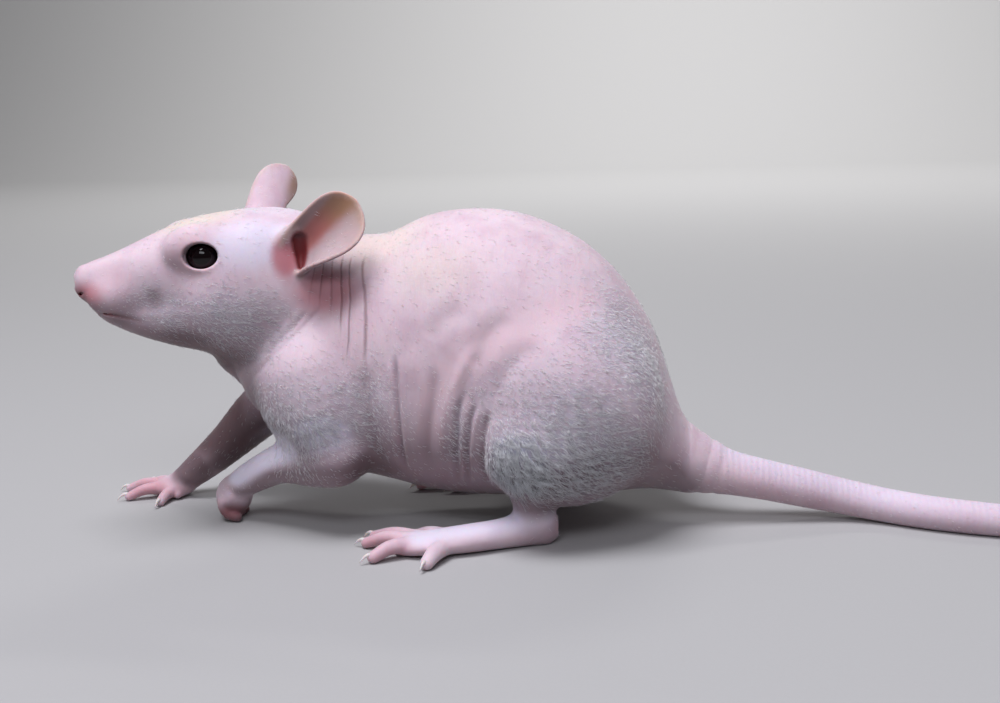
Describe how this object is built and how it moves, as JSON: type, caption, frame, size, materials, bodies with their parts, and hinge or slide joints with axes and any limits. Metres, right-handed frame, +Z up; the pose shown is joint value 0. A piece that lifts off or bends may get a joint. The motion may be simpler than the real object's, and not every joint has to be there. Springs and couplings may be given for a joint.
{
  "type": "rat",
  "caption": "Still life-size model of a young hairless rat in mid step, head turned a little to its left, with thin upright ears, folded bare skin and a long tail laid on the floor.",
  "frame": {"origin": "on the floor, under the middle of the part's box", "axes": "+Z up; the rat faces -X and its tail runs toward +X; its left side is toward -Y"},
  "size_m": [0.2401, 0.0639, 0.0679],
  "materials": {
    "bare_skin": "soft bare skin, pale pink with a lilac tinge and sparse white fuzz",
    "ear_skin": "thin bare skin, deeper pink",
    "foot_skin": "thin bare pink skin with pale claws",
    "tail_skin": "finely ringed bare skin",
    "eye": "wet and glossy, very dark red-black"
  },
  "bodies": {
    "root": {"head": "bare_skin", "neck": "bare_skin", "torso": "bare_skin", "ear_left": "ear_skin", "ear_right": "ear_skin", "eye_left": "eye", "eye_right": "eye", "foreleg_left": "bare_skin", "foreleg_right": "bare_skin", "forefoot_left": "foot_skin", "forefoot_right": "foot_skin", "hindleg_left": "bare_skin", "hindleg_right": "bare_skin", "hindfoot_left": "foot_skin", "hindfoot_right": "foot_skin", "tail_1": "tail_skin", "tail_2": "tail_skin", "tail_3": "tail_skin", "tail_4": "tail_skin"}
  },
  "joints": []
}
